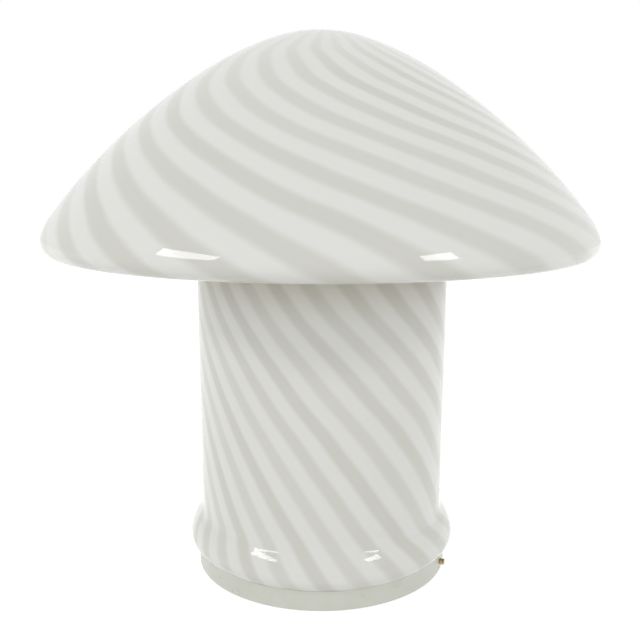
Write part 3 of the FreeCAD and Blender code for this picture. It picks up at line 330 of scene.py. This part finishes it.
# ---------------------------------------------------------------- plate and seal
# A pressed steel plate, zinc plated, sits on the ring's foot. Its raised middle carries the
# pipe, and the glass stands on a soft ring laid round its low rim.
# Zinc plate, blue passivated: a pale grey metal with a fine crystal bloom and faint bluish and
# yellowish patches a few millimetres across.
zinc, tree, shader = material("passivated_zinc_plate", Metallic=1.0, Roughness=0.38)
bloom = grain(tree, shader, 2.2, 0.006, detail=4.0)
cast = node(tree, "TexNoise", Vector=node(tree, "TexCoord").outputs["Object"],
            Scale=1 / (11 * MM), Detail=2.0)
mottle(tree, shader, cast.outputs[0], "#B4B9C0", "#C9C7BC", (0.3, 0.7))
rough = node(tree, "MapRange", Value=bloom, To_Min=0.3, To_Max=0.5)
tree.links.new(rough.outputs[0], shader.inputs["Roughness"])
dress(zinc, "carrier_plate", "pipe_washers", "cover_pillars", "holder_grub_screw",
      "connector_screws", "strip_fixing_screw")


def ring_of(profile, gap=0.0, around=180):
    """Points of a closed profile of (radius, height) carried round the vertical axis from one
    side of a gap of so many degrees, centred at the back, to the other."""
    half = math.pi - math.radians(gap) / 2
    a = np.linspace(-half, half, around, endpoint=gap > 0)[None, :]
    r, z = np.asarray(profile, float).T[:, :, None]
    return np.stack(np.broadcast_arrays(r * np.sin(a), -r * np.cos(a), z), -1)


def rounded(r0, r1, z0, z1, corner, bits=4):
    """A rectangle of radius and height with rounded corners, as points anticlockwise: each
    corner is a quarter circle about a centre set in by the corner's radius."""
    quarter = np.linspace(0, math.pi / 2, bits)
    turns = np.concatenate([quarter + k * math.pi / 2 for k in range(4)])
    at = np.array([(r1, z1), (r0, z1), (r0, z0), (r1, z0)]).repeat(bits, 0)
    inset = np.array([(-1, -1), (1, -1), (1, 1), (-1, 1)]).repeat(bits, 0) * corner
    return at + inset + corner * np.stack([np.cos(turns), np.sin(turns)], 1)


# Silicone seal: dull, slightly translucent, with dust caught on it.
silicone, tree, shader = material("moulded_silicone", Roughness=0.6, IOR=1.41,
                                  Subsurface_Weight=0.25, Subsurface_Scale=0.002)
mottle(tree, shader, grain(tree, shader, 0.8, 0.01), "#C6C6BD", "#D5D5CD")
section = rounded(r0=84.3, r1=90.7, z0=4.62, z1=5.38, corner=0.3)
seal = surface("seal", ring_of(section), wrap=(True, True))
piece("seal", seal, silicone, "base", "seat_gasket", slot="soft_seal")
dress(silicone, "cord_grommet")

# ---------------------------------------------------------------- foot
# A ring of pressed wool felt, die cut and glued under the cover, with a gap at the back for
# the lead.
FELT_INNER, FELT_OUTER, FELT_THICK, FELT_EDGE = 68.1, 90.1, 0.8, 0.15
NOTCH_HALF, NOTCH_RADIUS = 3.9, 80
GAP = math.degrees(2 * math.asin(NOTCH_HALF / NOTCH_RADIUS))


def felted(points):
    """Felt is uneven: its top stays flat against the cover, its foot and edges swell by up to
    0.12 mm with a sum of waves round the ring and across it."""
    x, y, z = np.moveaxis(points, -1, 0)
    a = np.arctan2(x, -y)
    r = np.hypot(x, y)
    swell = 0.5 + 0.17 * (np.sin(53 * a + 2 * r) + np.sin(91 * a - 1.3 * r) + np.sin(17 * a))
    return np.stack([x, y, z + 0.12 * swell * (FELT_THICK - z) / FELT_THICK], -1)


inward_steps = np.linspace(FELT_OUTER, FELT_INNER, 23)
r = np.concatenate([inward_steps, inward_steps[::-1]])
z = np.concatenate([np.full(23, FELT_THICK), np.full(23, 0.0)])
z[[0, 22, 23, 45]] += [-0.12, -0.12, FELT_EDGE, FELT_EDGE]
foot_mesh = surface("felt_foot", felted(ring_of(np.stack([r, z], 1), GAP, 260)),
                    wrap=(True, False))
ends = bmesh.new()
ends.from_mesh(foot_mesh)
bmesh.ops.holes_fill(ends, edges=[e for e in ends.edges if e.is_boundary], sides=0)
ends.to_mesh(foot_mesh)
ends.free()

# Grey wool felt: matted fibres a few hundredths of a millimetre thick, drawn here five times as
# coarse so that they show, light and dark ones mixed, with a soft sheen.
felt, tree, shader = material("pressed_wool_felt", Roughness=0.95, Sheen_Weight=0.5,
                              Sheen_Roughness=0.5)
fibres = grain(tree, shader, 0.35, 0.15, stretch=(3.0, 1, 1), detail=6.0)
crossed = node(tree, "TexNoise", Vector=node(tree, "TexCoord").outputs["Object"],
               Scale=1 / (0.5 * MM), Detail=6.0, Distortion=2.0)
mixed = node(tree, "Math", {"operation": "MAXIMUM"}, _0=fibres, _1=crossed.outputs[0])
mottle(tree, shader, mixed.outputs[0], "#7E7F7C", "#A8A9A5", (0.45, 0.7))
piece("felt_foot", foot_mesh, felt, "base", "felt_ring", slot="felt")

# ---------------------------------------------------------------- cover
# A thin steel disc, satin lacquered, closes the wiring space. Three countersunk screws with
# cross recesses hold it to pillars under the plate.
# Satin white lacquer: finer and duller than the ring's, with small nibs of dust in it.
satin, tree, shader = material("satin_lacquer_on_steel", Roughness=0.48, IOR=1.5)
nibs = grain(tree, shader, 0.7, 0.015, detail=3.0)
mottle(tree, shader, nibs, "#C6C6BD", "#CFCFC7")
dress(satin, "bottom_cover")


def recessed(foot, head, shank, top, at):
    """A countersunk screw, head down, about a vertical axis. The head's flat face sinks into a
    cross: its depth falls away with the distance from the nearer arm and from the middle."""
    a = np.linspace(-math.pi, math.pi, 72, endpoint=False)[None, :]
    flat = np.linspace(0, head - 0.15, 20)
    profile = [(q, foot) for q in flat] + [(head, foot + 0.12), (shank, foot + 1.0)]
    count = int((top - foot - 1.6) / 0.25)
    for k in range(count):
        profile.append((shank - 0.22 * (k % 2), foot + 1.2 + k * 0.25))
    profile += [(shank - 0.3, top), (0, top)]
    q, z = np.asarray(profile).T[:, :, None]
    x, y = q * np.sin(a), q * np.cos(a)
    arm = np.minimum(abs(x), abs(y))
    cross = np.clip(1 - arm / 0.45, 0, 1) * np.clip((1.75 - np.hypot(x, y)) / 0.5, 0, 1)
    sunk = np.where(np.arange(len(profile))[:, None] < 20, 0.9 * cross ** 0.5, 0)
    return np.stack([x + at[0], y + at[1], z + sunk + 0 * x], -1)


# Bright zinc on small screws: the same plating as the plate's, a little smoother, in faint patches
# of lighter and darker grey.
bright, tree, shader = material("bright_zinc_screws", Metallic=1.0, Roughness=0.27)
mottle(tree, shader, grain(tree, shader, 0.6, 0.004, detail=3.0), "#A9ADB2", "#CBCCCA")
COVER_SCREWS, SCREW_CIRCLE = 3, 58
for number in range(COVER_SCREWS):
    turn_by = 2 * math.pi * number / COVER_SCREWS
    middle = (SCREW_CIRCLE * math.cos(turn_by), SCREW_CIRCLE * math.sin(turn_by))
    shape = recessed(foot=0.8, head=2.75, shank=1.45, top=8.8, at=middle)
    mesh = surface(f"cover_screw_{number}", shape)
    made = piece(f"cover_screw_{number}", mesh, bright, "base", slot="zinc_plate")
    if number == 0:
        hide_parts("cover_screws")

# ---------------------------------------------------------------- pipe
# Steel pipe with a rolled thread of 1 mm pitch from end to end, cut to length and zinc plated.
# Chamfered hexagon nuts clamp it to the plate and lock the lampholder on it.
def threaded_pipe(outside, bore, depth, pitch, foot, top, around=36):
    """The outside radius is the crest less a depth times a triangle wave of the height in
    pitches less the turn, faded out at the ends. The bore and the two ends close it."""
    a = np.linspace(-math.pi, math.pi, around, endpoint=False)[None, :]
    z = np.arange(foot + 0.35, top - 0.34, pitch / 4)[:, None]
    wave = abs(((z / pitch - a / (2 * math.pi)) % 1) * 2 - 1)
    fade = np.clip(np.minimum(z - foot, top - z) / 1.2, 0, 1)
    r = outside - depth * (1 - fade + fade * wave)
    side = np.stack([r * np.sin(a), -r * np.cos(a), z + 0 * a], -1)
    ends = np.array([(bore, top), (bore + 0.25, top), (outside - depth - 0.1, top)])
    closing = ring_of(ends, around=around)
    feet = ring_of(np.array([(outside - depth - 0.1, foot), (bore + 0.25, foot), (bore, foot)]),
                   around=around)
    return np.concatenate([feet[::-1], side, closing[::-1]])


pipe_shape = threaded_pipe(outside=4.99, bore=4.0, depth=0.5, pitch=1.0, foot=17.5, top=126.0)
pipe_mesh = surface("pipe", pipe_shape, wrap=(True, True), crease=50)
piece("threaded_pipe", pipe_mesh, bright, "base", "lamp_pipe", slot="zinc_plate")


def hex_nut(flats, bore, foot, height, at=(0, 0)):
    """A hexagon nut: at each angle the outside stands at half the flats over the cosine of the
    angle from the nearest flat's middle. Both faces fall off at 30 degrees beyond the circle
    that touches the flats, which rounds the corners as a chamfering tool does."""
    a = np.linspace(-math.pi, math.pi, 96, endpoint=False)[None, :]
    half = flats / 2
    edge = half / np.cos((a + math.pi / 6) % (math.pi / 3) - math.pi / 6)
    fall = (edge - 0.97 * half) * math.tan(math.radians(30))
    whole = 0 * a
    rows = [(bore + whole, height + whole), (bore + whole, whole), (bore + 0.3 + whole, whole),
            (0.97 * half + whole, whole), (edge, fall), (edge, height - fall),
            (0.97 * half + whole, height + whole), (bore + 0.3 + whole, height + whole)]
    r = np.concatenate([row[0] for row in rows])
    z = np.concatenate([row[1] for row in rows])
    return np.stack([r * np.cos(a) + at[0], r * np.sin(a) + at[1], foot + z], -1)[:, ::-1]


for name, stands_for, sizes in (  # across flats, bore, foot, height and, off the axis, place
        ("lower_pipe_nut", "pipe_nut_lower", (14, 5.05, 19.2, 3.2)),
        ("upper_pipe_nut", "pipe_nut_upper", (14, 5.05, 24.8, 3.2)),
        ("lock_nut", "holder_lock_nut", (14, 5.05, 111.8, 3.2)),
        ("strip_nut", "strip_fixing_nut", (5, 1.3, 24.0, 2.0, (0, 45)))):
    mesh = surface(name, hex_nut(*sizes), wrap=(True, True), crease=25)
    piece(name, mesh, bright, "base", stands_for, slot="zinc_plate")

# ---------------------------------------------------------------- lampholder
# Two shells of moulded urea screw together round a ceramic insert, which carries brass
# contacts and their terminal screws.
# Moulded urea plastic: hard, off-white, satin, with a very fine flow grain.
moulded, tree, shader = material("moulded_urea", Roughness=0.36, IOR=1.55)
flow = grain(tree, shader, 1.5, 0.008, stretch=(1, 1, 3), detail=3.0)
mottle(tree, shader, flow, "#D0CEC2", "#D8D6CB")
dress(moulded, "holder_cap", "holder_skirt")

# Glazed steatite: cream ceramic with iron specks a few tenths of a millimetre across under a
# thin wavy glaze.
steatite, tree, shader = material("glazed_steatite", Roughness=0.12, IOR=1.54)
grain(tree, shader, 3.0, 0.02)
specks = node(tree, "TexVoronoi", Vector=node(tree, "TexCoord").outputs["Object"],
              Scale=1 / (2.4 * MM))
mottle(tree, shader, specks.outputs["Distance"], "#8A7358", "#DDD7C5", (0.06, 0.11))
dress(steatite, "holder_insert")

# Rolled spring brass: brighter than the turned brass, with fine lines along the strip.
spring, tree, shader = material("rolled_spring_brass", Metallic=1.0, Roughness=0.24)
mottle(tree, shader, grain(tree, shader, 0.25, 0.004, stretch=(8, 1, 1)), "#C3A468", "#D8BD85")
dress(spring, "centre_contact", "side_contact", "terminal_screws")

# ---------------------------------------------------------------- lamp
# An opal lamp: a blown envelope cemented into a screw shell that is rolled from thin metal,
# with a black glass insulator and a blob of solder for its tip.
BULB_FOOT = 153.6
BULB_WALL = 0.8


def envelope(globe, globe_height, neck, throat_height, foot):
    """Outline of the envelope from its crown: a circle, a tangent arc that opens the other way
    and a straight neck, which steps in where it enters the shell."""
    drop = globe_height - throat_height
    flare = (neck ** 2 + drop ** 2 - globe ** 2) / (2 * (globe - neck))
    lean = math.atan2(neck + flare, -drop)
    a = np.linspace(0, lean, 40)
    ball = np.stack([globe * np.sin(a), globe_height + globe * np.cos(a)], 1)
    b = np.linspace(math.pi / 2 - lean, 0, 16)[1:]
    arc = np.stack([neck + flare - flare * np.cos(b), throat_height + flare * np.sin(-b)], 1)
    foot_of = [(neck, throat_height - 3), (neck, 180.4), (neck - 0.9, 179.2), (neck - 0.9, foot)]
    return np.vstack([ball, arc, foot_of])


outline = envelope(globe=30.0, globe_height=BULB_FOOT + 75, neck=12.3,
                   throat_height=BULB_FOOT + 32, foot=169.6)
inside = outline * [(1 - BULB_WALL / 30), 1] - [0, BULB_WALL]
inside[0, 0] = 0
opal_mesh = surface("opal_envelope", turned(np.vstack([outline, inside[::-1]]), 72))
# Opal coating inside clear glass: an even white with the softest gloss over it.
opal, tree, shader = material("opal_coated_glass", Roughness=0.12, IOR=1.5,
                              Subsurface_Weight=0.4, Subsurface_Scale=0.003)
mottle(tree, shader, grain(tree, shader, 9.0, 0.03), "#E6E6E1", "#EDEDE9")
piece("opal_envelope", opal_mesh, opal, "bulb", "bulb_glass", slot="opal_bulb")


def screw_shell(crest, depth, pitch, foot, top, around=60):
    """The shell's radius swings between crest and root with a cosine of the height in pitches
    less the turn, faded out towards the plain rim and the foot, which draws in to the
    insulator. The inside follows 0.25 mm within."""
    a = np.linspace(-math.pi, math.pi, around, endpoint=False)[None, :]
    z = np.linspace(foot + 3.1, top, 84)[:, None]
    swing = 0.5 - 0.5 * np.cos(2 * math.pi * (z / pitch - a / (2 * math.pi)))
    fade = np.clip((z - foot - 3.1) / 1.5, 0, 1) * np.clip((top - 4.6 - z) / 1.5, 0, 1)
    r = crest - depth * swing * fade
    low = ring_of(np.array([(6.75, foot), (7.0, foot)]), around=around)
    outside = np.stack([r * np.sin(a), -r * np.cos(a), z + 0 * a], -1)
    within = np.stack([(r - 0.25) * np.sin(a), -(r - 0.25) * np.cos(a), z + 0 * a], -1)
    return np.concatenate([low, outside, within[::-1]])


# Rolled aluminium shell: bright, brushed round by the rolls.
shell, tree, shader = material("rolled_aluminium", Metallic=1.0, Roughness=0.3)
mottle(tree, shader, grain(tree, shader, 0.3, 0.004, stretch=(6, 6, 1)), "#C3C4C6", "#D6D7D8")
shell_shape = screw_shell(crest=13.08, depth=0.95, pitch=3.62, foot=157.0, top=180.0)
shell_mesh = surface("screw_shell", shell_shape[::-1], wrap=(True, True))
piece("screw_shell", shell_mesh, shell, "bulb", "bulb_cap", slot="bulb_shell")

# Black glass, moulded: mirror smooth with small flow lines.
black, tree, shader = material("moulded_black_glass", Roughness=0.08, IOR=1.52)
mottle(tree, shader, grain(tree, shader, 2.0, 0.02), "#141416", "#1E1E20")
dress(black, "bulb_insulator")

# Soft solder, dulled: a grey skin with small pits.
solder, tree, shader = material("dull_soft_solder", Metallic=1.0, Roughness=0.42)
mottle(tree, shader, grain(tree, shader, 0.8, 0.03, detail=4.0), "#8D9094", "#B3B5B6")
dress(solder, "bulb_contact")

# Clear lead glass of the stem that carries the filament, with drawn streaks along it.
clear, tree, shader = material("drawn_clear_glass", Roughness=0.02, IOR=1.5,
                               Transmission_Weight=0.9)
mottle(tree, shader, grain(tree, shader, 1.5, 0.02, stretch=(1, 1, 8)), "#E4ECEA", "#F0F5F3")
dress(clear, "bulb_mount")

# Drawn tungsten: dark grey wire with fine lines from the die.
tungsten, tree, shader = material("drawn_tungsten", Metallic=1.0, Roughness=0.35)
mottle(tree, shader, grain(tree, shader, 0.15, 0.003, stretch=(5, 1, 1)), "#5E5E60", "#7C7B7A")
dress(tungsten, "bulb_filament")

# ---------------------------------------------------------------- leads
# Two single cores with silicone sleeves run from the terminal strip under the plate up the
# pipe to the lampholder: brown live, blue neutral.
for sleeve, low, high, name in (("brown_silicone_sleeve", "#4E2C17", "#5C3720", "live_lead"),
                                ("blue_silicone_sleeve", "#1F4E8F", "#2B5C9E", "neutral_lead")):
    # Extruded silicone: smooth and slightly greasy, faint lines from the die, dust on it.
    rubber, tree, shader = material(sleeve, Roughness=0.45, IOR=1.41)
    mottle(tree, shader, grain(tree, shader, 0.6, 0.01, stretch=(1, 1, 4)), low, high)
    dress(rubber, name)

# ---------------------------------------------------------------- stage
# A plain pale sweep for a floor in a soft white room, brighter towards its walls than overhead.
# Two soft lamps stand in front, the wider one to the left.
floor_mesh = bpy.data.meshes.new("floor")
floor_mesh.from_pydata([(-6, -6, 0), (6, -6, 0), (6, 6, 0), (-6, 6, 0)], [], [(0, 1, 2, 3)])
floor = bpy.data.objects.new("floor", floor_mesh)
bpy.context.scene.collection.objects.link(floor)


def backdrop_ray(tree):
    """1 for rays that show the backdrop: from the camera, or by gloss or through glass."""
    ray = node(tree, "LightPath")
    clear = node(tree, "Math", {"operation": "MAXIMUM"}, _0=ray.outputs["Is Camera Ray"],
                 _1=ray.outputs["Is Transmission Ray"])
    gloss = node(tree, "Math", {"operation": "MAXIMUM"}, _0=clear.outputs[0],
                 _1=ray.outputs["Is Glossy Ray"])
    return gloss.outputs[0]


sweep, tree, shader = material("matt_white_sweep", Roughness=0.9)
shader.inputs["Base Color"].default_value = linear("#E6E6E4")
seen = node(tree, "Math", {"operation": "MULTIPLY"}, _0=backdrop_ray(tree), _1=0.6)
glow = node(tree, "Emission", Color=linear("#FFFFFF"), Strength=seen.outputs[0])
both = node(tree, "AddShader", _0=shader.outputs[0], _1=glow.outputs[0])
tree.links.new(both.outputs[0], tree.nodes["Material Output"].inputs["Surface"])
floor_mesh.materials.append(sweep)

room = bpy.data.worlds.new("room")
bpy.context.scene.world = room
room.use_nodes = True
tree = room.node_tree
way = node(tree, "SeparateXYZ", _0=node(tree, "TexCoord").outputs["Generated"])
wall = node(tree, "MapRange", {"interpolation_type": "SMOOTHSTEP"}, Value=way.outputs["Z"],
            From_Min=0.0, From_Max=0.9, To_Min=1.12, To_Max=0.55)
level = node(tree, "Mix", {"data_type": "FLOAT"}, _0=backdrop_ray(tree), _2=wall.outputs[0],
             _3=1.0)
tree.links.new(level.outputs[0], tree.nodes["Background"].inputs["Strength"])
tree.nodes["Background"].inputs["Color"].default_value = linear("#FFFFFF")


def softbox(name, azimuth, elevation, distance, width, height, radiance, aim=(0, 0, 0.2),
            roll=0):
    """A flat even light that faces the lamp, from an azimuth and elevation in degrees and a
    distance in metres. Its power is pi times its area times its radiance."""
    lamp = bpy.data.lights.new(name, "AREA")
    lamp.shape = "RECTANGLE"
    lamp.size, lamp.size_y = width, height
    lamp.energy = math.pi * width * height * radiance
    a, e = math.radians(azimuth), math.radians(elevation)
    away = Vector((math.sin(a) * math.cos(e), -math.cos(a) * math.cos(e), math.sin(e)))
    box = bpy.data.objects.new(name, lamp)
    bpy.context.scene.collection.objects.link(box)
    box.matrix_world = (Matrix.Translation(Vector(aim) + away * distance)
                        @ away.to_track_quat("Z", "Y").to_matrix().to_4x4()
                        @ Matrix.Rotation(math.radians(roll), 4, "Z"))
    box.visible_camera = False


softbox("left_softbox", -53.5, 29.5, 3.0, 1.2, 0.4, 6.5, roll=-4)
softbox("right_softbox", 47.5, 30, 3.0, 0.66, 0.4, 7.5, roll=4)
